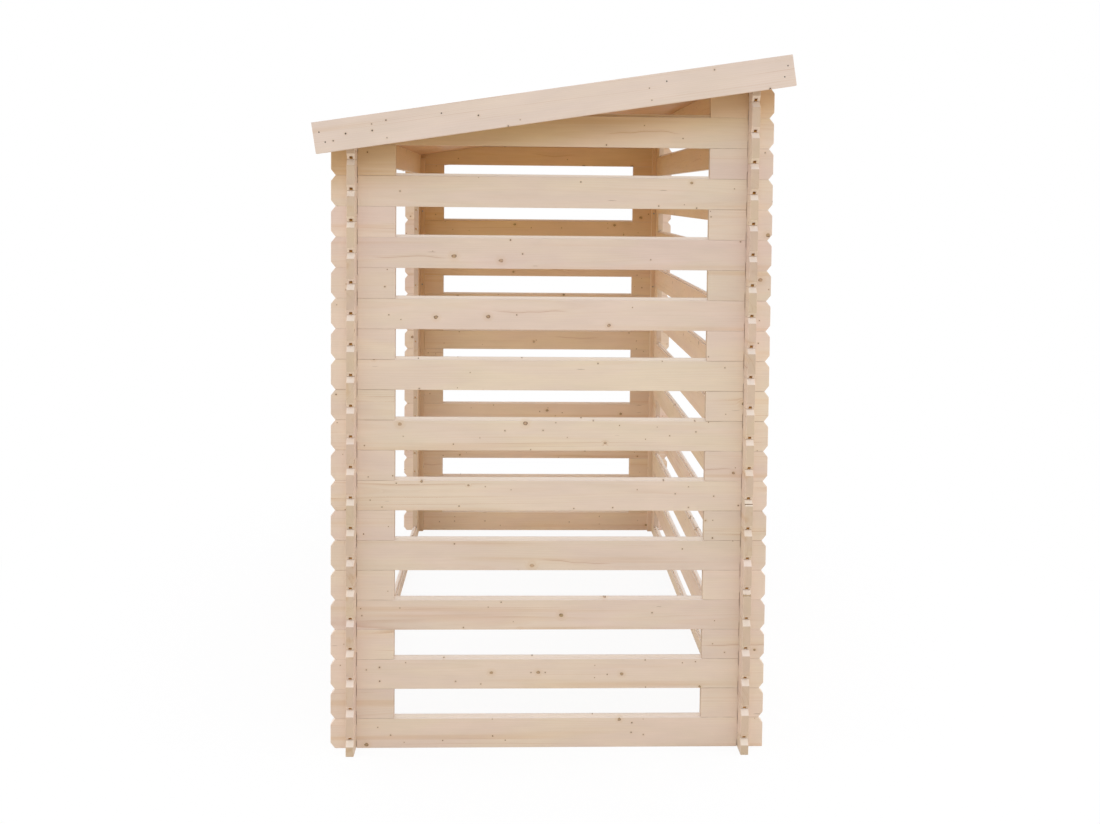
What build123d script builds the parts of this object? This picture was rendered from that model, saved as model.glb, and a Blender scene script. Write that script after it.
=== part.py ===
from build123d import *
import os
from math import atan, cos, sin, tan

# Log store: notched wall boards crossing at four corners, open slatted side and back walls,
# an open front, and a boarded roof that slopes down towards the front.
# Millimetres. X runs along the length, the open front faces -Y, Z is up, and the origin lies
# on the ground under the middle of the store.

# ---- Driving dimensions ----

# Walls
side_length = 1168.0          # side wall board, tip to tip
front_length = 2060.0         # front or back wall board, tip to tip
side_courses = 21             # courses in a side wall below the roof's front edge, an odd number
tip_reach = 58.0              # middle of a corner crossing to the board tips
block_length = 169.0          # short blocks that space the long boards

# Wall boards
course = 81.0                 # height that one board adds to a wall
board_thickness = 21.0
tongue_width = 7.0
tongue_height = 7.0
groove_side_play = 0.5        # room beside a tongue in its groove
groove_top_play = 1.0         # room above a tongue in its groove
tip_cut_height = 15.0         # chamfer on a board's tip, up the tip
tip_cut_length = 12.0         # chamfer on a board's tip, along the board
notch_play = 1.0              # room on each side of a crossing board

# Roof
roof_board_thickness = 16.0
roof_board_cover = 88.0       # nominal width that one roof board covers
roof_board_gap = 1.0          # open joint between neighbouring roof boards
roof_tongue_thickness = 5.0
roof_tongue_length = 5.0
roof_tongue_play = 0.5
roof_side_reach = 27.0        # roof past the tips of the front and back boards
roof_end_reach = 29.0         # roof past the tips of the side boards, front and back
trim_thickness = 18.0         # bargeboards and eaves boards
bargeboard_height = 80.0
bargeboard_stand = 25.0       # top of a bargeboard above the roof's underside
eaves_board_height = 40.0

# Corner battens
batten_width = 18.0
batten_top_gap = 15.0         # batten top to the roof's underside

# ---- Derived sizes ----

front_wall_y = side_length / 2 - tip_reach
side_wall_x = front_length / 2 - tip_reach
notch_depth = course / 4
notch_width = board_thickness + 2 * notch_play
groove_width = tongue_width + 2 * groove_side_play
groove_depth = tongue_height + groove_top_play
half_course = course / 2

# Side courses are counted from the ground. Front and back courses lie half a course higher,
# on a half-height bottom rail, so that the notches of both walls meet at mid-height.
lintel_course = side_courses - 1
back_top_course = side_courses + 1
wedge_course = side_courses + 2
side_rail_courses = range(3, side_courses, 2)
side_front_block_courses = range(2, side_courses, 2)
side_back_block_courses = range(2, side_courses + 2, 2)
back_rail_courses = range(2, back_top_course, 2)
back_block_courses = range(1, back_top_course, 2)
front_odd_block_courses = range(1, lintel_course, 2)
front_even_block_courses = range(2, lintel_course, 2)

# The roof's underside meets the inner top edge of the lintel and the outer top edge of the
# back wall's top board.
roof_rise = (back_top_course - lintel_course) * course
roof_angle = atan(roof_rise / (2 * front_wall_y))
roof_middle_z = (lintel_course + 0.5) * course + (front_wall_y - board_thickness / 2) * tan(roof_angle)
up_slope = (0, cos(roof_angle), sin(roof_angle))
off_roof = (0, -sin(roof_angle), cos(roof_angle))
roof_underside = Plane(origin=(0, 0, roof_middle_z), x_dir=(1, 0, 0), z_dir=off_roof)

roof_width = front_length + 2 * roof_side_reach
bargeboard_length = (side_length + 2 * roof_end_reach) / cos(roof_angle)
bargeboard_drop = bargeboard_height / 2 - bargeboard_stand
trim_middle_z = roof_middle_z - bargeboard_drop / cos(roof_angle)
trim_middle = Plane(origin=(0, 0, trim_middle_z), x_dir=up_slope, z_dir=(1, 0, 0))
roof_board_length = bargeboard_length - 2 * trim_thickness
roof_board_count = round(roof_width / roof_board_cover)
roof_board_width = (roof_width - (roof_board_count - 1) * roof_board_gap) / roof_board_count

parts = {}


def underside_z(y):
    """Height of the roof's underside above the ground at y."""
    return roof_middle_z + y * tan(roof_angle)


def keep(name, label):
    """Name a finished piece and put it with the others."""
    name.part.label = label
    parts[label] = name.part


# ---- Wall boards ----


def board_end(x, inward, height, cut_foot, cut_head):
    """Outline of a board's end at x, from foot to head, with or without its two chamfers."""
    foot = [(x, 0)]
    if cut_foot:
        foot = [(x + inward * tip_cut_length, 0), (x, tip_cut_height)]
    head = [(x, height)]
    if cut_head:
        head = [(x, height - tip_cut_height), (x + inward * tip_cut_length, height)]
    return foot + head


def wall_board(start, end, crossings, height=course, groove=True, foot_notch=True, cuts="all"):
    """A wall board along X that stands on Z = 0, notched at its crossings.

    cuts says which corners are chamfered: all of them, only those at the start, only the
    upper ones, or all but the foot at the end. The tongue stops at the notches, so that the
    grooves stay open at the tips; on a short block it runs on to the square end.
    """
    start_outline = board_end(start, 1, height, cuts != "upper", True)
    end_outline = board_end(end, -1, height, cuts == "all", cuts != "start")
    tongue_start = crossings[0] + notch_width / 2
    tongue_end = crossings[1] - notch_width / 2 if len(crossings) == 2 else end
    notch_levels = (0, height) if foot_notch else (height,)
    with BuildPart() as board:
        with BuildSketch(Plane.XZ):
            with BuildLine():
                Polyline(*start_outline, *reversed(end_outline), close=True)
            make_face()
            with Locations(*[(x, z) for x in crossings for z in notch_levels]):
                Rectangle(notch_width, 2 * notch_depth, mode=Mode.SUBTRACT)
        extrude(amount=board_thickness / 2, both=True)
        if groove:
            with BuildSketch(Plane.YZ.offset(start)):
                with Locations((0, groove_depth / 2)):
                    Rectangle(groove_width, groove_depth)
            extrude(amount=end - start, mode=Mode.SUBTRACT)
        with BuildSketch(Plane.YZ.offset(tongue_start)):
            with Locations((0, height + tongue_height / 2)):
                Rectangle(tongue_width, tongue_height)
        extrude(amount=tongue_end - tongue_start)
    return board.part


side_tip = side_length / 2
front_tip = front_length / 2
side_crossings = (-front_wall_y, front_wall_y)
front_crossings = (-side_wall_x, side_wall_x)

side_board = wall_board(-side_tip, side_tip, side_crossings)
side_bottom_board = wall_board(-side_tip, side_tip, side_crossings, groove=False, cuts="not end foot")
side_block = wall_board(-side_tip, -side_tip + block_length, side_crossings[:1], cuts="start")
front_board = wall_board(-front_tip, front_tip, front_crossings)
front_bottom_rail = wall_board(-front_tip, front_tip, front_crossings, height=half_course,
                               groove=False, foot_notch=False, cuts="upper")
front_block = wall_board(-front_tip, -front_tip + block_length, front_crossings[:1], cuts="start")


# ---- Places ----


def side_place(x, number, turned=False):
    """Where a side wall's board of this course goes; a turned one has its start at the back."""
    return Location((x, 0, (number - 1) * course), (0, 0, -90 if turned else 90))


def front_place(y, number, turned=False):
    """Where a front or back wall's board of this course goes, from its left or right end."""
    return Location((0, y, (number - 0.5) * course), (0, 0, 180 if turned else 0))


def stack(label, board, places, under_roof=False):
    """One node: like boards at their places, trimmed to the roof's underside where they meet it."""
    with BuildPart() as node:
        with Locations(*places):
            add(board)
        if under_roof:
            split(bisect_by=roof_underside, keep=Keep.BOTTOM)
    keep(node, label)


# ---- Side walls ----

for side, x in (("right", side_wall_x), ("left", -side_wall_x)):
    wall = f"{side}_wall"
    stack(f"{wall}_bottom_board", side_bottom_board, [side_place(x, 1)])
    stack(f"{wall}_rails", side_board, [side_place(x, n) for n in side_rail_courses])
    stack(f"{wall}_top_board", side_board, [side_place(x, side_courses)], under_roof=True)
    stack(f"{wall}_front_blocks", side_block, [side_place(x, n) for n in side_front_block_courses])
    stack(f"{wall}_back_blocks", side_block,
          [side_place(x, n, turned=True) for n in side_back_block_courses])
    stack(f"{wall}_gable_wedge", side_block, [side_place(x, wedge_course, turned=True)],
          under_roof=True)

# ---- Back wall ----

back_ground = [Location((0, front_wall_y, 0))]
stack("back_wall_bottom_rail", front_bottom_rail, back_ground)
stack("back_wall_rails", front_board, [front_place(front_wall_y, n) for n in back_rail_courses])
stack("back_wall_top_board", front_board, [front_place(front_wall_y, back_top_course)],
      under_roof=True)
for side, turned in (("left", False), ("right", True)):
    places = [front_place(front_wall_y, n, turned) for n in back_block_courses]
    stack(f"back_wall_{side}_blocks", front_block, places)

# ---- Front ----

front_ground = [Location((0, -front_wall_y, 0))]
stack("front_bottom_rail", front_bottom_rail, front_ground)
stack("front_lintel", front_board, [front_place(-front_wall_y, lintel_course)], under_roof=True)
for side, turned in (("left", False), ("right", True)):
    odd_places = [front_place(-front_wall_y, n, turned) for n in front_odd_block_courses]
    even_places = [front_place(-front_wall_y, n, turned) for n in front_even_block_courses]
    stack(f"front_{side}_blocks_odd", front_block, odd_places)
    stack(f"front_{side}_blocks_even", front_block, even_places)

# ---- Corner battens ----

batten_reach_x = side_wall_x - board_thickness / 2 - batten_width / 2
batten_reach_y = front_wall_y - board_thickness / 2 - batten_width / 2
for side, x in (("right", batten_reach_x), ("left", -batten_reach_x)):
    for end, y in (("front", -batten_reach_y), ("back", batten_reach_y)):
        batten_height = underside_z(y - batten_width / 2) - batten_top_gap
        with BuildPart() as batten:
            with BuildSketch():
                with Locations((x, y)):
                    Rectangle(batten_width, batten_width)
            extrude(amount=batten_height)
        keep(batten, f"{end}_{side}_corner_batten")

# ---- Roof ----

roof_board_start = -roof_board_length / 2 - bargeboard_drop * tan(roof_angle)
roof_front = roof_underside.from_local_coords((0, roof_board_start, 0))
roof_section = Plane(origin=roof_front, x_dir=(-1, 0, 0), z_dir=up_slope)
tongue_line = roof_board_thickness / 2
roof_groove_thickness = roof_tongue_thickness + 2 * roof_tongue_play
roof_groove_length = roof_tongue_length + roof_tongue_play


def roof_board(number):
    """Section of one tongued and grooved roof board; the last has its tongue ripped off."""
    left = -roof_width / 2 + number * (roof_board_width + roof_board_gap)
    right = left + roof_board_width
    with Locations((left + roof_board_width / 2, roof_board_thickness / 2)):
        Rectangle(roof_board_width, roof_board_thickness)
    with Locations((left + roof_groove_length / 2, tongue_line)):
        Rectangle(roof_groove_length, roof_groove_thickness, mode=Mode.SUBTRACT)
    if number < roof_board_count - 1:
        with Locations((right + roof_tongue_length / 2, tongue_line)):
            Rectangle(roof_tongue_length, roof_tongue_thickness)


with BuildPart() as roof_boards:
    with BuildSketch(roof_section):
        for number in range(roof_board_count):
            roof_board(number)
    extrude(amount=roof_board_length)
keep(roof_boards, "roof_boards")

# Bargeboards close the two sloping edges, their ends square to the slope.
for side, sign in (("right", 1), ("left", -1)):
    with BuildPart() as bargeboard:
        with BuildSketch(trim_middle.offset(sign * roof_width / 2)):
            Rectangle(bargeboard_length, bargeboard_height)
        extrude(amount=sign * trim_thickness)
    keep(bargeboard, f"{side}_bargeboard")

# Eaves boards cap the ends of the roof boards between the bargeboards.
eaves_middle = bargeboard_drop + roof_board_thickness - eaves_board_height / 2
eaves_reach = bargeboard_length / 2 - trim_thickness / 2
for end, along in (("front", -eaves_reach), ("back", eaves_reach)):
    with BuildPart() as eaves_board:
        with BuildSketch(trim_middle):
            with Locations((along, eaves_middle)):
                Rectangle(trim_thickness, eaves_board_height)
        extrude(amount=roof_width / 2, both=True)
    keep(eaves_board, f"{end}_eaves_board")

# ---- Files ----

os.makedirs("parts", exist_ok=True)
for label, piece in parts.items():
    export_step(piece, f"parts/{label}.step")
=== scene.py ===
import math
import random

import bmesh
import bpy
import numpy as np
from mathutils import Matrix, Vector


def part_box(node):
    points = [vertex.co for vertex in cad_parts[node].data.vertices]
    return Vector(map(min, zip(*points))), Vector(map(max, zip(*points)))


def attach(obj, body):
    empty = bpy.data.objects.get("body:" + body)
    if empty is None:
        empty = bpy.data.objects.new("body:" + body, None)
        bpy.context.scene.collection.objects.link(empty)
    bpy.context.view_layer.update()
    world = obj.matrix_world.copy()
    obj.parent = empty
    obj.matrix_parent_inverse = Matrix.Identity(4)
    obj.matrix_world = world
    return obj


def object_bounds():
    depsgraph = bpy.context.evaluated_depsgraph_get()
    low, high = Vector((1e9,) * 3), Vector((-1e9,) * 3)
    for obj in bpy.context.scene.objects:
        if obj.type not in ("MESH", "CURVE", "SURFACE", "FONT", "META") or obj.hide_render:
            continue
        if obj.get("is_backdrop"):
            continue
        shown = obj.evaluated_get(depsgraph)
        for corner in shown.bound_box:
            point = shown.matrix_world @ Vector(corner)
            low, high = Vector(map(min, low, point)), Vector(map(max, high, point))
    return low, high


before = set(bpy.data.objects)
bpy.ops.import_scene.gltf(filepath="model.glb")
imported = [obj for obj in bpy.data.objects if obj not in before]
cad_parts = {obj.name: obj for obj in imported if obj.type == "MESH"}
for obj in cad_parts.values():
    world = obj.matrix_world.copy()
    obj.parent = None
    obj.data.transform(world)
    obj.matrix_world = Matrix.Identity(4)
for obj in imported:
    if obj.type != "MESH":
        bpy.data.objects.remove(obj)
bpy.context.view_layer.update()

MM = 0.001
FAR = 10.0  # a distance, in metres, at which nothing of the store lies
SAME_POINT = 0.01 * MM
TONGUE = 7 * MM  # a tongue's height and thickness
BLOCK = 169 * MM  # a corner block's length
COURSE = 81 * MM
chance = random.Random(81)


# ---------------------------------------------------------------- boards
# Each solid of a CAD node is one board. Its points carry five attributes that the wood reads: "grain" is
# the point's place in the board in metres (along, up, through), "board" is three numbers picked at random
# for each board, "joint" says where its joints with the boards above and below lie, "fibre" is the way the
# grain runs, and "inside" is the way to the inside of the store.

def frame_object(name):
    return bpy.data.objects[name]


def middle(name):
    low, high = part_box(name)
    return (Vector(low) + Vector(high)) / 2


def slope_direction():
    """The way up the roof: along a bargeboard's top edge, from its foremost corner to its highest one."""
    corners = [vertex.co for vertex in frame_object("right_bargeboard").data.vertices]
    front, top = min(corners, key=lambda c: c.y), max(corners, key=lambda c: c.z)
    return Vector((0.0, top.y - front.y, top.z - front.z)).normalized()


def solids(mesh):
    """The mesh's points, and for each point the number of the solid that it belongs to."""
    points = np.empty(len(mesh.vertices) * 3)
    mesh.vertices.foreach_get("co", points)
    points = points.reshape(-1, 3)
    _, same = np.unique(np.round(points / SAME_POINT), axis=0, return_inverse=True)
    same = same.reshape(-1)
    label = np.arange(same.max() + 1)
    edges = np.empty(len(mesh.edges) * 2, dtype=int)
    mesh.edges.foreach_get("vertices", edges)
    a, b = same[edges.reshape(-1, 2)].T
    while True:
        low = np.minimum(label[a], label[b])
        new = label.copy()
        np.minimum.at(new, a, low)
        np.minimum.at(new, b, low)
        new = new[new]
        if (new == label).all():
            break
        label = new
    return points, label[same]


def give(mesh, name, values):
    """Gives each point of the mesh a vector."""
    attribute = mesh.attributes.new(name, "FLOAT_VECTOR", "POINT")
    attribute.data.foreach_set("vector", np.asarray(values, dtype=np.float32).reshape(-1))


def joint_lines(name, half):
    """Where a board meets its neighbours: how far its lower and upper joints lie from its middle, and how far
    along from the middle they start. A distance of FAR means that there is no such joint."""
    if "wall" not in name and "front_" not in name or "batten" in name or "eaves" in name:
        return FAR, FAR, FAR
    low, high = half[1], half[1] - TONGUE
    if "bottom" in name:
        low = FAR
    if name.endswith(("top_board", "lintel", "wedge")):
        high = FAR
    start = 0.0 if "blocks" in name or "wedge" in name else half[0] - BLOCK
    return low, high, start


def mark_boards(name, along, up, through, inside):
    """Gives a node's points their attributes. Returns each board's middle, half size and three numbers."""
    mesh = frame_object(name).data
    axes = np.array([along, up, through])
    points, owner = solids(mesh)
    place = points @ axes.T
    numbers = np.zeros_like(place)
    joints = np.zeros_like(place)
    boards = []
    for one in np.unique(owner):
        mine = owner == one
        low, high = place[mine].min(axis=0), place[mine].max(axis=0)
        place[mine] -= (low + high) / 2
        three = [chance.random() for _ in range(3)]
        numbers[mine] = three
        joints[mine] = joint_lines(name, (high - low) / 2)
        boards.append((Vector((low + high) / 2 @ axes), (high - low) / 2, three))
    give(mesh, "grain", place)
    give(mesh, "board", numbers)
    give(mesh, "joint", joints)
    give(mesh, "fibre", np.tile(axes[0], (len(points), 1)))
    give(mesh, "inside", np.tile(inside, (len(points), 1)))
    return boards


# ---------------------------------------------------------------- shader helpers

def colour(red, green, blue):
    """An sRGB colour of 0 to 255, as the linear numbers that a shader takes."""
    linear = [c / 255 / 12.92 if c < 10.3 else ((c / 255 + 0.055) / 1.055) ** 2.4 for c in (red, green, blue)]
    return (*linear, 1.0)


class Graph:
    """Adds nodes to a shader. A value is a number, a colour or another node's output."""

    def __init__(self, tree):
        self.tree = tree
        tree.nodes.clear()

    def put(self, socket, value):
        """Links another node's output to the socket, or sets the socket to a value."""
        if isinstance(value, bpy.types.NodeSocket):
            self.tree.links.new(value, socket)
        elif value is not None:
            socket.default_value = value

    def add(self, kind, settings=None, **inputs):
        node = self.tree.nodes.new("ShaderNode" + kind)
        for key, value in (settings or {}).items():
            setattr(node, key, value)
        for key, value in inputs.items():
            self.put(node.inputs[key.replace("_", " ")], value)
        return node

    def operate(self, kind, operation, values):
        node = self.add(kind, {"operation": operation})
        for socket, value in zip(node.inputs, values):
            self.put(socket, value)
        return node.outputs

    def math(self, operation, *values):
        return self.operate("Math", operation, values)[0]

    def vector(self, operation, *values):
        outputs = self.operate("VectorMath", operation, values)
        return outputs["Value" if operation in ("DOT_PRODUCT", "LENGTH") else "Vector"]

    def plus(self, first, second):
        return self.math("ADD", first, second)

    def minus(self, first, second):
        return self.math("SUBTRACT", first, second)

    def times(self, first, *others):
        for other in others:
            first = self.math("MULTIPLY", first, other)
        return first

    def most(self, first, second):
        return self.math("MAXIMUM", first, second)

    def less(self, first, second):
        """1 where the first value is the smaller one, otherwise 0."""
        return self.math("LESS_THAN", first, second)

    def size(self, value):
        return self.math("ABSOLUTE", value)

    def attribute(self, name):
        return self.add("Attribute", {"attribute_name": name}).outputs["Vector"]

    def split(self, value):
        return self.add("SeparateXYZ", Vector=value).outputs[:3]

    def join(self, x, y, z=0.0):
        return self.add("CombineXYZ", X=x, Y=y, Z=z).outputs[0]

    def noise(self, place, detail=2.0, roughness=0.5):
        """A noise's two outputs, Fac and Color."""
        return self.add("TexNoise", Vector=place, Scale=1.0, Detail=detail, Roughness=roughness).outputs

    def remap(self, kind, value, start, end, low, high):
        node = self.add("MapRange", {"interpolation_type": kind}, Value=value)
        for key, number in (("From Min", start), ("From Max", end), ("To Min", low), ("To Max", high)):
            self.put(node.inputs[key], number)
        return node.outputs["Result"]

    def step(self, value, start, end, low=0.0, high=1.0):
        """A soft step from low to high, as value goes from start to end."""
        return self.remap("SMOOTHSTEP", value, start, end, low, high)

    def fall(self, value, start, end):
        """A soft step from 1 down to 0, as value goes from start to end."""
        return self.step(value, start, end, 1.0, 0.0)

    def line(self, value, start, end, low, high):
        """A straight line from low to high, as value goes from start to end."""
        return self.remap("LINEAR", value, start, end, low, high)

    def pick(self, number, low, high):
        """A value between low and high, picked by a number of 0 to 1."""
        return self.line(number, 0, 1, low, high)

    def level(self, noise, low, high):
        """A noise's middle range, stretched to go from low to high."""
        return self.line(noise["Fac"], 0.3, 0.7, low, high)

    def mix(self, factor, first, second, blend="MIX"):
        node = self.tree.nodes.new("ShaderNodeMix")
        node.data_type = "RGBA"
        node.blend_type = blend
        for socket, value in zip((node.inputs[0], node.inputs[6], node.inputs[7]), (factor, first, second)):
            self.put(socket, value)
        return node.outputs[2]

    def tinted(self, factor, tint, by):
        """The tint, multiplied by a colour where the factor says so."""
        return self.mix(factor, tint, self.mix(1.0, tint, by, "MULTIPLY"))

    def ramp(self, value, stops):
        """A grey for each value of 0 to 1, from stops of a place and a level."""
        node = self.add("ValToRGB", Fac=value)
        elements = node.color_ramp.elements
        while len(elements) < len(stops):
            elements.new(0.5)
        for element, (place, level) in zip(elements, stops):
            element.position = place
            element.color = (level, level, level, 1.0)
        return node.outputs["Color"]

    def blend(self, factor, first, second):
        """One shader or the other."""
        node = self.add("MixShader", Fac=factor)
        self.put(node.inputs[1], first.outputs[0])
        self.put(node.inputs[2], second.outputs[0])
        return node.outputs[0]

    def seen(self):
        """1 for what is seen straight, mirrored or through something clear, 0 for what only gives light."""
        path = self.add("LightPath").outputs
        straight_or_mirrored = self.most(path["Is Camera Ray"], path["Is Glossy Ray"])
        return self.most(straight_or_mirrored, path["Is Transmission Ray"])

    def spots(self, x, y, cell, share, smallest, largest, wobble):
        """Round spots strewn over a board, one to a cell at most. A share of the cells has one, of a radius
        between the smallest and the largest. Returns the distance from the spot's middle in spot radiuses,
        a 0 or 1 that says whether the cell has one, and a random number for each cell."""
        place = self.join(self.times(x, 1 / cell), self.times(y, 1 / cell))
        place = self.vector("ADD", place, self.far)
        place = self.vector("ADD", place, wobble)
        cells = self.add("TexVoronoi", {"voronoi_dimensions": "2D"}, Vector=place, Scale=1.0)
        draw, width, tone = self.split(cells.outputs["Color"])
        radius = self.pick(width, smallest / cell, largest / cell)
        near = self.math("DIVIDE", cells.outputs["Distance"], radius)
        return near, self.less(draw, share), tone


# ---------------------------------------------------------------- materials

slope = slope_direction()
across_slope = Vector((0.0, -slope.z, slope.y))
roof_height = min(across_slope.dot(vertex.co) for vertex in frame_object("roof_boards").data.vertices)

# The side walls' and the front and back walls' middles: what lies further out isn't inside the store.
WALL_MIDDLE = (middle("right_wall_rails").x, middle("back_wall_rails").y)

# The bargeboards' nails, at both ends: how far from the board's middle along it, and how far above the middle
NAIL_RADIUS = 2.1 * MM
NAIL_COLOUR = colour(50, 40, 34)
bargeboard_reach = solids(frame_object("right_bargeboard").data)[0] @ np.array(slope)
bargeboard_half = (bargeboard_reach.max() - bargeboard_reach.min()) / 2
BARGEBOARD_NAILS = [(bargeboard_half - 16 * MM, 13 * MM), (bargeboard_half - 28 * MM, -14 * MM),
                    (bargeboard_half - 330 * MM, 17 * MM)]

# How dark the wood is over one year's ring: places of 0 to 1 across the ring, and levels
RING_PROFILE = [(0.0, 0.25), (0.12, 0.0), (0.5, 0.12), (0.82, 0.7), (0.93, 1.0), (1.0, 0.25)]
END_CONTRAST = 1.8  # how much stronger the rings are on end grain


def nails(g, along, up, fibre, places):
    """1 on the nail heads, which are painted: heads that stood proud would leave the CAD's box. The eaves
    boards, whose fibres run along X, have none of these."""
    nail = 0.0
    for from_middle, height in places:
        away = g.vector("LENGTH", g.join(g.minus(g.size(along), from_middle), g.minus(up, height)))
        nail = g.most(nail, g.fall(away, NAIL_RADIUS - 0.3 * MM, NAIL_RADIUS))
    return g.times(nail, g.less(g.size(g.split(fibre)[0]), 0.5))


def wood(name, look):
    """Planed, unfinished spruce. The rings are cylinders round a pith that lies beside the board, so the faces
    show long grain and the ends show arcs. Knots push the rings aside."""
    material = bpy.data.materials.new(name)
    material.use_nodes = True
    g = Graph(material.node_tree)
    grain, board, fibre, inside = (g.attribute(key) for key in ("grain", "board", "fibre", "inside"))
    along, up, through = g.split(grain)
    first, second, third = g.split(board)
    lower, upper, joint_start = g.split(g.attribute("joint"))
    from_middle = g.size(along)
    # each board reads the noises at a place of its own, far from the others'
    g.far = g.vector("MULTIPLY", board, (173.0, 211.0, 149.0))

    def stretched(lengthways, crossways):
        """The place in the board, scaled for a noise that is stretched along the grain."""
        return g.vector("MULTIPLY_ADD", grain, (lengthways, crossways, crossways), g.far)

    # the faces: the cut across the fibres, those that look inside the store, which get painted shade, and
    # those that look up, which get a painted highlight
    normal = g.add("NewGeometry").outputs["Normal"]
    end_grain = g.step(g.size(g.vector("DOT_PRODUCT", normal, fibre)), 0.8, 0.97)
    place = g.add("TexCoord").outputs["Object"]
    x, y, _ = g.split(place)
    within = g.times(g.less(g.size(x), WALL_MIDDLE[0]), g.less(g.size(y), WALL_MIDDLE[1]))
    inner = g.times(g.step(g.vector("DOT_PRODUCT", normal, inside), 0.3, 0.8), within)
    rise = g.split(normal)[2]
    chamfers = g.step(rise, 0.4, 0.6, 0.0, look["upward"])
    tops = g.step(rise, 0.8, 0.95, 0.0, look["upward"])
    tongue = g.step(g.minus(up, upper), 0.5 * MM, 1.2 * MM, 0.0, look["tongue"])
    upward = g.most(g.plus(chamfers, tops), g.times(tongue, g.less(from_middle, joint_start)))

    # how far a face is in the warm shade under the roof: deeper down on the inner faces
    below_roof = g.minus(roof_height, g.vector("DOT_PRODUCT", place, across_slope))
    shade_start, shade_end = g.pick(inner, 0.05, 0.2), g.pick(inner, 0.2, 1.05)
    shelter = g.step(below_roof, shade_start, shade_end, look["shelter"], 0.0)
    side_wall = g.size(g.split(fibre)[1])
    shelter = g.times(shelter, g.most(side_wall, inner))

    # knots, pin knots and resin streaks
    wobble = g.vector("SCALE", g.vector("SUBTRACT", g.noise(stretched(160, 260))["Color"], (0.5, 0.5, 0.5)))
    wobble.node.inputs["Scale"].default_value = 0.035
    knot, knot_there, knot_tone = g.spots(
        g.times(along, 0.85), up, cell=0.095, share=look["knots"],
        smallest=0.0024, largest=0.0058, wobble=wobble)
    pin, pin_there, pin_tone = g.spots(
        along, up, cell=0.034, share=g.pick(third, look["pins"] * 0.5, look["pins"] * 1.5),
        smallest=look["pin_size"][0], largest=look["pin_size"][1], wobble=wobble)
    streak, streak_there, streak_tone = g.spots(
        g.times(along, 0.055), up, cell=0.0075, share=look["streaks"],
        smallest=0.0004, largest=0.0009, wobble=wobble)

    def part(near, there, start, end):
        """A spot's middle, which fades out from the first to the second number of spot radiuses."""
        return g.times(there, g.fall(near, start, end))

    knot_inside = part(knot, knot_there, 0.8, 1.05)
    broken = g.step(g.noise(stretched(70, 110), 1)["Fac"], 0.44, 0.58)
    knot_rim = g.times(part(knot, knot_there, 0.95, 1.2), broken, g.step(knot, 0.3, 0.9))
    knot_halo = part(knot, knot_there, 0.9, 3.6)
    pin_inside = part(pin, pin_there, 0.55, 1.05)
    pin_halo = part(pin, pin_there, 0.9, 2.8)
    streak_inside = part(streak, streak_there, 0.35, 1.0)

    # a long wavy resin line with fainter ones beside it, on some boards
    wave = g.line(g.noise(stretched(6, 0), 2)["Fac"], 0.2, 0.8, -0.011, 0.011)
    wave = g.plus(wave, g.pick(second, -0.02, 0.02))
    reach = g.math("DIVIDE", g.minus(along, g.pick(first, -0.4, 0.4)), 0.11)
    reach = g.minus(1.0, g.math("POWER", g.size(reach), 2.0))
    swirl = 0.0
    for shift, width, depth in ((0.0, 0.0011, 1.0), (0.0032, 0.0007, 0.4), (-0.0027, 0.0006, 0.3)):
        away = g.size(g.minus(g.minus(up, wave), shift))
        swirl = g.most(swirl, g.step(away, 0.3 * width, width, depth, 0.0))
    swirl = g.times(swirl, g.step(reach, 0.0, 0.75), g.less(third, look["swirls"]))

    # the joints with the boards above and below, along which a dark line is painted: the shade in the gap
    # between boards
    lower_joint = g.fall(g.plus(up, lower), 0.4 * MM, 1.2 * MM)
    upper_joint = g.fall(g.size(g.minus(up, upper)), 0.4 * MM, 1.2 * MM)
    has_joint = g.step(from_middle, joint_start, g.plus(joint_start, 0.5 * MM))
    uneven = g.step(g.noise(stretched(26, 0), 2)["Fac"], 0.3, 0.6, 0.25, 1.0)
    joint = g.times(g.most(lower_joint, upper_joint), has_joint, uneven)

    # painted shade in the deep parts of the joints, where they show at the tips: the tongue's flanks and the
    # groove above it
    flanks = g.step(g.minus(up, upper), 0.8 * MM, 1.6 * MM)
    groove = g.fall(g.plus(up, lower), TONGUE + 0.6 * MM, TONGUE + 1.2 * MM)
    deep = g.times(g.most(flanks, groove), g.fall(g.size(through), 3.8 * MM, 4.3 * MM),
                   g.math("GREATER_THAN", from_middle, joint_start), g.minus(1.0, within))

    # growth rings
    wander = g.vector("SUBTRACT", g.noise(stretched(1.3, 5.0), 1.5)["Color"], (0.5, 0.5, 0.5))
    wander = g.vector("MULTIPLY", wander, (0.0, 0.022, 0.016))
    pith = g.join(0.0, g.pick(second, -0.05, 0.05), g.pick(third, -0.075, -0.018))
    offset = g.vector("SUBTRACT", g.vector("MULTIPLY_ADD", grain, (0.0, 1.0, 1.0), wander), pith)
    radius = g.plus(g.vector("LENGTH", offset), g.times(along, g.pick(first, -0.008, 0.008)))
    radius = g.plus(radius, g.times(knot_halo, 0.0045))
    radius = g.plus(radius, g.times(pin_halo, 0.0009))
    ripple = g.times(g.noise(stretched(9, 60), 2)["Fac"], 0.0011)
    phase = g.math("DIVIDE", g.plus(radius, ripple), g.pick(first, 0.0022, 0.0036))
    ring = g.ramp(g.math("FRACT", phase), RING_PROFILE)
    clear = g.level(g.noise(stretched(2.2, 16), 2), 0.3, 1.0)
    year = g.plus(g.math("FLOOR", phase), g.times(third, 97.0))
    year_number = g.add("TexWhiteNoise", {"noise_dimensions": "1D"}, W=year).outputs["Value"]
    lean_year = g.step(year_number, 0.86, 0.97)
    dark_ring = g.times(ring, lean_year, g.step(clear, 0.55, 0.85))

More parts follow.
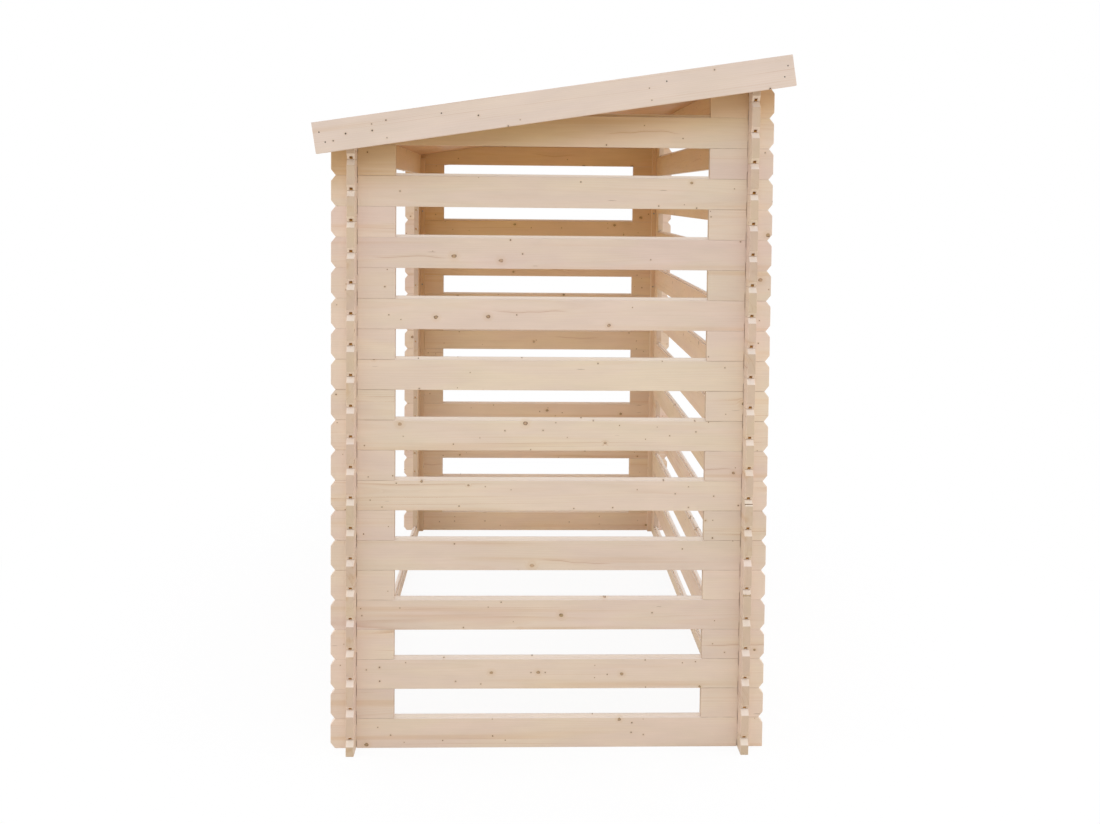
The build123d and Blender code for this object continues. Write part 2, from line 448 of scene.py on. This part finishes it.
    # the marks stay off the end grain
    long_grain = g.minus(1.0, end_grain)
    knot_inside, knot_rim, knot_halo, pin_inside, pin_halo, streak_inside, swirl = (
        g.times(mark, long_grain)
        for mark in (knot_inside, knot_rim, knot_halo, pin_inside, pin_halo, streak_inside, swirl))

    # colour: the rings, clouds and threads of the wood
    warmth = g.step(g.noise(stretched(3.5, 14), 2)["Fac"], 0.35, 0.65, 0.0, 0.45)
    early = g.mix(g.plus(g.times(first, 0.55), warmth), look["pink"], look["yellow"])
    late = g.mix(1.0, early, look["late"], "MULTIPLY")
    contrast = g.pick(end_grain, look["contrast"], min(1.0, look["contrast"] * END_CONTRAST))
    tint = g.mix(g.times(ring, clear, contrast), early, late)
    tint = g.tinted(g.times(dark_ring, 0.5), tint, look["lean"])
    cloud = g.level(g.noise(stretched(5, 22), 3, 0.6), 0.955, 1.03)
    thread = g.level(g.noise(stretched(14, 900), 2, 0.6), 0.975, 1.02)
    level = g.times(cloud, thread, g.pick(second, 0.955, 1.03))
    tint = g.mix(1.0, tint, g.join(level, level, level), "MULTIPLY")
    band = g.step(g.noise(stretched(0.9, 34), 2)["Fac"], 0.56, 0.74, 0.0, 0.55)
    tint = g.tinted(band, tint, look["heart"])

    # colour: what each kind of face adds: end grain its own tone, painted shade on faces inside the store,
    # under the roof and in the joints' pockets, and a painted highlight on upward faces
    tint = g.tinted(end_grain, tint, look["end"])
    # painted shade: the faces that look inside the store are darker and warmer
    tint = g.tinted(inner, tint, look["inner"])
    # painted shade: a warm, darker band under the roof that fades further down
    tint = g.tinted(shelter, tint, look["sheltered"])
    # painted highlight: upward faces, chamfers and tongue tops are made lighter, as where light falls from
    # above
    tint = g.mix(upward, tint, look["painted_highlight"])
    # painted shade in the joints' pockets at the tips
    tint = g.tinted(deep, tint, look["deep"])

    # colour: the marks
    tint = g.tinted(g.times(knot_halo, 0.3), tint, look["halo"])
    heart = g.mix(knot_tone, look["knot_red"], look["knot_green"])
    tint = g.mix(g.times(knot_inside, g.pick(knot_tone, 0.45, 0.85)), tint, heart)
    tint = g.mix(g.times(knot_rim, 0.7), tint, look["knot_dark"])
    tint = g.tinted(g.times(pin_halo, 0.3), tint, look["halo"])
    tint = g.mix(g.times(pin_inside, g.pick(pin_tone, 0.55, 1.0)), tint, look["knot_dark"])
    tint = g.mix(g.times(streak_inside, g.pick(streak_tone, 0.35, 0.9)), tint, look["resin"])
    tint = g.mix(g.times(swirl, 0.6), tint, look["swirl"])
    if look["nails"]:
        tint = g.mix(g.times(nails(g, along, up, fibre, look["nails"]), 0.9), tint, NAIL_COLOUR)
    # painted shade: a dark, uneven line along the joints with the boards above and below
    tint = g.mix(g.times(joint, g.pick(first, 0.12, 0.6)), tint, look["joint"])

    # surface
    rough = g.level(g.noise(stretched(30, 500), 2), 0.42, 0.56)
    rough = g.minus(rough, g.times(ring, 0.06))
    rough = g.minus(rough, g.times(g.plus(knot_inside, streak_inside), 0.14))
    rough = g.plus(rough, g.times(end_grain, 0.12))
    height = g.times(g.noise(stretched(20, 1100), 2)["Fac"], 0.08)
    bump = g.add("Bump", Height=height, Strength=0.8, Distance=1 * MM)
    shader = g.add("BsdfPrincipled", Base_Color=tint, Roughness=rough, Normal=bump.outputs[0],
                   Specular_IOR_Level=0.2)
    g.add("OutputMaterial", Surface=shader.outputs[0])
    return material


# The wood's look. "pink" and "yellow" are the ends of its hue. "late", "lean", "heart", "end", "inner",
# "sheltered", "deep" and "halo" multiply it, and the other colours are laid over it. "inner", "sheltered" and
# "deep" are painted shade: on faces inside the store, under the roof and in the joints' pockets at the tips.
# The colour laid over upward faces and tongue tops is a painted highlight, and "joint" is a dark line painted
# along the joints, the shade in the gap between boards. The rest are amounts: how strongly upward faces and
# tongues get the painted highlight, the rings' contrast, the share of places with each mark, the smallest and
# the largest radius of a pin knot in metres, and how strong the painted shade under the roof is. "nails"
# lists the places of painted nails.
SPRUCE = {
    "pink": colour(229, 208, 198),
    "yellow": colour(229, 213, 194),
    "late": colour(240, 222, 198),
    "lean": colour(214, 178, 140),
    "heart": colour(243, 230, 211),
    "end": colour(238, 233, 225),
    "inner": colour(255, 250, 237),
    "sheltered": colour(241, 223, 187),
    "halo": colour(238, 222, 196),
    "knot_red": colour(164, 116, 70),
    "knot_green": colour(152, 128, 78),
    "knot_dark": colour(92, 62, 38),
    "resin": colour(128, 92, 58),
    "swirl": colour(176, 122, 76),
    "joint": colour(140, 104, 68),
    "deep": colour(220, 178, 106),
    "painted_highlight": colour(250, 240, 230),
    "upward": 0.4,
    "tongue": 0.6,
    "contrast": 0.21,
    "knots": 0.25,
    "pins": 0.13,
    "pin_size": (0.0012, 0.0026),
    "streaks": 0.006,
    "swirls": 0.3,
    "shelter": 1.0,
    "nails": [],
}
LOOKS = {
    "wall_boards": SPRUCE,
    "roof_boards": SPRUCE | {
        "knots": 0.3,
        "shelter": 0.0,
        "upward": 0.0,
        # the roof boards' underside gets a darker, warmer painted shade
        "inner": colour(231, 197, 155),
    },
    "trim_boards": SPRUCE | {
        "pink": colour(233, 215, 207),
        "yellow": colour(233, 216, 204),
        "knot_dark": colour(58, 42, 32),
        "knots": 0.1,
        "pin_size": (0.0016, 0.0028),
        "swirls": 0.0,
        "shelter": 0.0,
        "upward": 0.0,
        "nails": BARGEBOARD_NAILS,
    },
    "battens": SPRUCE | {"knots": 0.16},
}
woods = {slot: wood(slot + "_wood", look) for slot, look in LOOKS.items()}


def zinc():
    """Bright zinc plate on nail and screw heads."""
    material = bpy.data.materials.new("zinc_plate")
    material.use_nodes = True
    g = Graph(material.node_tree)
    place = g.add("TexCoord").outputs["Object"]
    cloud = g.noise(g.vector("MULTIPLY", place, (700.0, 700.0, 700.0)), 3)
    scratch = g.noise(g.vector("MULTIPLY", place, (3000.0, 900.0, 2400.0)), 2)
    tint = g.mix(cloud["Fac"], colour(138, 131, 122), colour(182, 176, 166))
    rough = g.level(scratch, 0.3, 0.5)
    bump = g.add("Bump", Height=scratch["Fac"], Strength=0.4, Distance=0.05 * MM)
    shader = g.add("BsdfPrincipled", Base_Color=tint, Roughness=rough, Normal=bump.outputs[0], Metallic=1.0)
    g.add("OutputMaterial", Surface=shader.outputs[0])
    return material


metal = zinc()

# ---------------------------------------------------------------- the CAD nodes

X, Y, Z = Vector((1, 0, 0)), Vector((0, 1, 0)), Vector((0, 0, 1))
EDGE = 0.8 * MM  # how far a planed edge cuts back the faces beside it


def inward(centre):
    """The two level ways from a place near a corner to the inside of the store."""
    return Vector((-math.copysign(1, centre.x), 0, 0)), Vector((0, -math.copysign(1, centre.y), 0))


boards = {}  # each node's boards: their middles, half sizes and three numbers
ways = {}  # each node's directions: along, up and through its boards, and to the inside
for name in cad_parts:
    inward_x, inward_y = inward(middle(name))
    if "batten" in name:
        axes, slot = (Z, X, Y, (inward_x + inward_y).normalized()), "battens"
    elif name == "roof_boards":
        axes, slot = (slope, X, across_slope, -across_slope), "roof_boards"
    elif "bargeboard" in name:
        axes, slot = (slope, across_slope, X, inward_x), "trim_boards"
    elif "eaves" in name:
        axes, slot = (X, across_slope, slope, inward_y), "trim_boards"
    elif name.startswith(("left_wall", "right_wall")):
        axes, slot = (Y, Z, X, inward_x), "wall_boards"
    else:
        axes, slot = (X, Z, Y, inward_y), "wall_boards"
    boards[name] = mark_boards(name, *axes)
    ways[name] = axes
    node = frame_object(name)
    node.data.attributes.remove(node.data.attributes["custom_normal"])
    node.data.polygons.foreach_set("use_smooth", [False] * len(node.data.polygons))
    for holder in node.material_slots:
        holder.material = woods[slot]
    weld = node.modifiers.new("weld", "WELD")
    weld.merge_threshold = SAME_POINT
    bevel = node.modifiers.new("planed_edges", "BEVEL")
    bevel.width = EDGE
    bevel.segments = 1
    bevel.limit_method = "ANGLE"
    bevel.angle_limit = math.radians(30)
    bevel.use_clamp_overlap = False

# ---------------------------------------------------------------- tongues in the tips
# The CAD's tongues stop at the notches. Here each one goes on into the tip of its board, up to the cut that
# slants the tip, so a tip's groove is a shallow pocket and not an open hole.
TIP = 44 * MM  # where the added tongue starts, from the board's end: 2.5 mm clear of the notch
CUT_LENGTH, CUT_HEIGHT = 12 * MM, 15 * MM  # the slanted cut at the board's tip
CHAMFER = 0.6 * MM
SIDE = TONGUE / 2
# the tongue seen from its end: each point's distance sideways and upwards from the middle of its foot
TONGUE_SECTION = ((-SIDE, 0.0), (SIDE, 0.0), (SIDE, TONGUE - CHAMFER), (SIDE - CHAMFER, TONGUE),
                  (CHAMFER - SIDE, TONGUE), (-SIDE, TONGUE - CHAMFER))


def between(bm, outer, inner):
    """The faces between two rings of points."""
    for k in range(len(outer)):
        bm.faces.new((outer[k - 1], outer[k], inner[k], inner[k - 1]))


def tongue_tips():
    """One mesh of all the ends of the tongues, with the attributes of the boards that they belong to."""
    bm = bmesh.new()
    keys = ("grain", "board", "fibre", "inside", "joint")
    layers = [bm.verts.layers.float_vector.new(key) for key in keys]
    for name, (along, up, through, inside) in ways.items():
        if not name.endswith(("rails", "rail", "bottom_board", "blocks", "blocks_odd", "blocks_even")):
            continue
        long_node = "right_wall_rails" if along == Y else "back_wall_rails"
        wall_end = Vector(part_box(long_node)[1]).dot(along)
        for centre, half, numbers in boards[name]:
            joint = Vector(joint_lines(name, half))
            end, foot = half[0], half[1] - TONGUE
            # a block has one tip, where it ends with the wall, and a long board has two
            for side in (-1, 1):
                if abs(side * centre.dot(along) + end - wall_end) > MM:
                    continue
                rings = []
                for at_tip in (False, True):
                    ring = []
                    for wide, high in TONGUE_SECTION:
                        cut = CUT_LENGTH + CUT_LENGTH / CUT_HEIGHT * high
                        place = end - (cut if at_tip else TIP)
                        local = Vector((side * place, foot + high, wide))
                        point = centre + along * local.x + up * local.y + through * local.z
                        vertex = bm.verts.new(point)
                        for layer, value in zip(layers, (local, Vector(numbers), along, inside, joint)):
                            vertex[layer] = value
                        ring.append(vertex)
                    rings.append(ring)
                between(bm, *rings)
                for ring in rings:
                    bm.faces.new(ring)
    bmesh.ops.recalc_face_normals(bm, faces=bm.faces)
    mesh = bpy.data.meshes.new("tongue_tips")
    bm.to_mesh(mesh)
    bm.free()
    mesh.materials.append(woods["wall_boards"])
    piece = bpy.data.objects.new("tongue_tips", mesh)
    bpy.context.scene.collection.objects.link(piece)
    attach(piece, "root")


tongue_tips()

# ---------------------------------------------------------------- nail and screw heads

# A head's profile: each ring's radius and height, in millimetres
NAIL_SIDES = 18
NAIL_PROFILE = ((2.7, -0.3), (2.7, 0.12), (2.5, 0.26), (1.6, 0.30), (0.8, 0.27))
SCREW_SIDES = 24
SCREW_PROFILE = ((3.6, -0.4), (3.6, 0.15), (3.4, 0.38))
ARM, WAIST = 2.1, 0.75  # how far the cross recess reaches, in its arms and between them
RECESS_FLOOR = 0.08  # the height of the recess's floor
RECESS_TAPER = 0.72  # the floor's width, as a share of the opening's


def turned_rings(bm, turn, profile, sides):
    """The rings of points of a round head, joined by faces."""
    rings = [[bm.verts.new(turn @ Vector((radius * MM * math.cos(2 * math.pi * k / sides),
                                          radius * MM * math.sin(2 * math.pi * k / sides), height * MM)))
              for k in range(sides)] for radius, height in profile]
    for outer, inner in zip(rings, rings[1:]):
        between(bm, outer, inner)
    return rings


def nail_head(bm, turn):
    """A flat round head with a rounded rim, hammered nearly flush."""
    rings = turned_rings(bm, turn, NAIL_PROFILE, NAIL_SIDES)
    bm.faces.new(rings[-1])


def screw_head(bm, turn):
    """A countersunk head with a cross recess."""
    rings = turned_rings(bm, turn, SCREW_PROFILE, SCREW_SIDES)
    top = SCREW_PROFILE[-1][1]
    cross, floor = [], []
    # in each quarter, point 0 is the middle of an arm's end, 1 and 5 are its corners, drawn in, and the rest
    # lie at the waist
    for k in range(SCREW_SIDES):
        place = k % (SCREW_SIDES // 4)
        reach = ARM if place in (5, 0, 1) else WAIST
        angle = math.radians(360 / SCREW_SIDES * k + {1: -5, 5: 5}.get(place, 0))
        spot = Vector((reach * MM * math.cos(angle), reach * MM * math.sin(angle), top * MM))
        sunk = Vector((spot.x * RECESS_TAPER, spot.y * RECESS_TAPER, RECESS_FLOOR * MM))
        cross.append(bm.verts.new(turn @ spot))
        floor.append(bm.verts.new(turn @ sunk))
    between(bm, rings[-1], cross)
    between(bm, cross, floor)
    bm.faces.new(floor)


def facing(point, normal):
    """The matrix that stands a head on the point, turned and by up to a degree tilted by chance."""
    spin = Matrix.Rotation(chance.uniform(0, 2 * math.pi), 4, "Z")
    lean = Matrix.Rotation(math.radians(chance.uniform(-1.0, 1.0)), 4, "X")
    return Matrix.Translation(point) @ normal.to_track_quat("Z", "Y").to_matrix().to_4x4() @ lean @ spin


def heads(name, shape, places):
    """One mesh of all the heads of a kind, riding on the frame."""
    bm = bmesh.new()
    for point, normal in places:
        shape(bm, facing(point, normal))
    bmesh.ops.recalc_face_normals(bm, faces=bm.faces)
    mesh = bpy.data.meshes.new(name)
    bm.to_mesh(mesh)
    bm.free()
    mesh.polygons.foreach_set("use_smooth", [True] * len(mesh.polygons))
    mesh.set_sharp_from_angle(angle=math.radians(35))
    mesh.materials.append(metal)
    piece = bpy.data.objects.new(name, mesh)
    bpy.context.scene.collection.objects.link(piece)
    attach(piece, "root")


def jitter(amount):
    """A small length by chance, of up to so many millimetres either way."""
    return chance.uniform(-amount, amount) * MM


# roof boards: two nails in each board over the lintel and over the back wall
NAIL_SPREAD = 24 * MM  # how far a board's two nails lie from its middle
roof_nails = []
for centre, half, _ in boards["roof_boards"]:
    for wall in ("front_lintel", "back_wall_top_board"):
        reach = (middle(wall).y - centre.y) / slope.y
        for side in (-1, 1):
            spot = centre + slope * (reach + jitter(4)) + X * (side * NAIL_SPREAD + jitter(3))
            roof_nails.append((spot + across_slope * half[2], across_slope))
heads("roof_board_nails", nail_head, roof_nails)

# eaves boards: one nail in every second roof board and in the last one
eaves_nails = []
for name, outward in (("front_eaves_board", -1), ("back_eaves_board", 1)):
    centre, half, _ = boards[name][0]
    for number, (board, _, _) in enumerate(sorted(boards["roof_boards"], key=lambda b: b[0].x)):
        if number % 2 == 0 or number == len(boards["roof_boards"]) - 1:
            spot = Vector((board.x + jitter(6), centre.y, centre.z)) + across_slope * jitter(5)
            eaves_nails.append((spot + slope * (outward * half[2]), slope * outward))
heads("eaves_board_nails", nail_head, eaves_nails)

# corner battens: a screw in every second course, by turns into the side wall and into the other wall
SCREW_START, SCREW_STEP, SCREW_STOP = 1.5 * COURSE, 2 * COURSE, 60 * MM
screws = []
for name in ("front_left_corner_batten", "front_right_corner_batten",
             "back_left_corner_batten", "back_right_corner_batten"):
    low, high = (Vector(c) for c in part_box(name))
    centre = (low + high) / 2
    height, number = low.z + SCREW_START, 0
    while height < high.z - SCREW_STOP:
        way = inward(centre)[number % 2]
        spot = Vector((centre.x, centre.y, height + jitter(3))) + way * (high.x - low.x) / 2
        screws.append((spot, way))
        height += SCREW_STEP
        number += 1
heads("corner_batten_screws", screw_head, screws)

# ---------------------------------------------------------------- floor, light and camera

# Warm light from low down and cooler light from above add up to about white on an upright board, so shade
# under the roof is warm, as in the photo.
LOW_SKY, HIGH_SKY = 0.62, 1.0  # the strength of the light from low down and from above
HORIZON = (1.0, 0.93, 0.80, 1.0)
ZENITH = (0.96, 1.0, 1.08, 1.0)
FLOOR_BOUNCE = (0.82, 0.75, 0.62, 1.0)  # the floor as it colours the light that it throws back up
WHITE = (1.0, 1.0, 1.0, 1.0)
FLOOR_HALF = 9.0
SHADOW_REACH, SHADOW_END = 1.2, 2.2  # from the middle, in metres: where the shadow starts to fade, and ends
SHADOW_COVER = 0.91  # how much plain white lies over the shadow where it is strongest


def floor_material():
    """White paper: seen straight, it keeps a soft shadow near the object and is plain white further off."""
    material = bpy.data.materials.new("white_floor")
    material.use_nodes = True
    g = Graph(material.node_tree)
    seen = g.seen()
    from_middle = g.vector("LENGTH", g.add("TexCoord").outputs["Object"])
    away = g.step(from_middle, SHADOW_REACH, SHADOW_END, SHADOW_COVER, 1.0)
    paper = g.add("BsdfDiffuse", Color=g.mix(seen, FLOOR_BOUNCE, WHITE))
    white = g.add("Emission", Color=WHITE, Strength=1.0)
    g.add("OutputMaterial", Surface=g.blend(g.times(seen, away), paper, white))
    return material


floor_mesh = bpy.data.meshes.new("floor")
floor_corners = [(x * FLOOR_HALF, y * FLOOR_HALF, 0) for x, y in ((-1, -1), (1, -1), (1, 1), (-1, 1))]
floor_mesh.from_pydata(floor_corners, [], [(0, 1, 2, 3)])
floor_mesh.materials.append(floor_material())
floor = bpy.data.objects.new("floor", floor_mesh)
bpy.context.scene.collection.objects.link(floor)
floor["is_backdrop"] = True

world = bpy.data.worlds.new("studio")
world.use_nodes = True
bpy.context.scene.world = world
g = Graph(world.node_tree)
height = g.split(g.add("TexCoord").outputs["Generated"])[2]
sky = g.mix(g.step(height, 0.0, 0.8), HORIZON, ZENITH)
glow = g.add("Background", Color=sky, Strength=g.step(height, 0.2, 0.8, LOW_SKY, HIGH_SKY))
white = g.add("Background", Color=WHITE, Strength=1.0)
g.add("OutputWorld", Surface=g.blend(g.seen(), glow, white))


def soft_box(name, place, aim, side, power, tint):
    """A square lamp, aimed at a point."""
    light = bpy.data.lights.new(name, "AREA")
    light.color = tint
    light.shape = "RECTANGLE"
    light.size = light.size_y = side
    light.energy = power
    lamp = bpy.data.objects.new(name, light)
    lamp.location = place
    lamp.rotation_euler = (Vector(aim) - Vector(place)).to_track_quat("-Z", "Y").to_euler()
    bpy.context.scene.collection.objects.link(lamp)


LAMP_POWER = 62
KEY_TINT = (0.90, 0.95, 1.0)
SIDE_TINT = (1.0, 0.98, 0.96)
soft_box("key_light", (6.3, 0.1, 4.5), (0.9, 0.0, 1.1), 2.8, LAMP_POWER, KEY_TINT)
soft_box("front_light", (1.0, -4.8, 1.3), (0.2, 0.2, 0.7), 2.4, LAMP_POWER, SIDE_TINT)
soft_box("back_light", (1.2, 4.8, 1.5), (0.2, -0.2, 0.8), 2.4, LAMP_POWER, SIDE_TINT)

# The camera was fitted to the photo's edges, with the store's size held: its place in metres, and its yaw,
# pitch and roll in degrees.
CAMERA_PLACE = (3.915, -0.096, 1.493)
CAMERA_TURNS = (1.738, -2.696, 0.583)
camera_data = bpy.data.cameras.new("camera")
camera_data.sensor_width = 36.0
camera_data.lens = 36.3
camera_data.shift_y = -0.15
camera = bpy.data.objects.new("camera", camera_data)
yaw, pitch, roll = (math.radians(turn) for turn in CAMERA_TURNS)
forward = Vector((-math.cos(yaw) * math.cos(pitch), math.sin(yaw) * math.cos(pitch), math.sin(pitch)))
right = Vector((math.sin(yaw), math.cos(yaw), 0.0))
upward = right.cross(forward)
right, upward = (right * math.cos(roll) + upward * math.sin(roll),
                 upward * math.cos(roll) - right * math.sin(roll))
turned = Matrix((right, upward, -forward)).transposed().to_4x4()
camera.matrix_world = Matrix.Translation(CAMERA_PLACE) @ turned
bpy.context.scene.collection.objects.link(camera)
bpy.context.scene.camera = camera
bpy.context.scene.view_settings.view_transform = "Standard"

bpy.context.view_layer.update()
low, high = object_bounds()
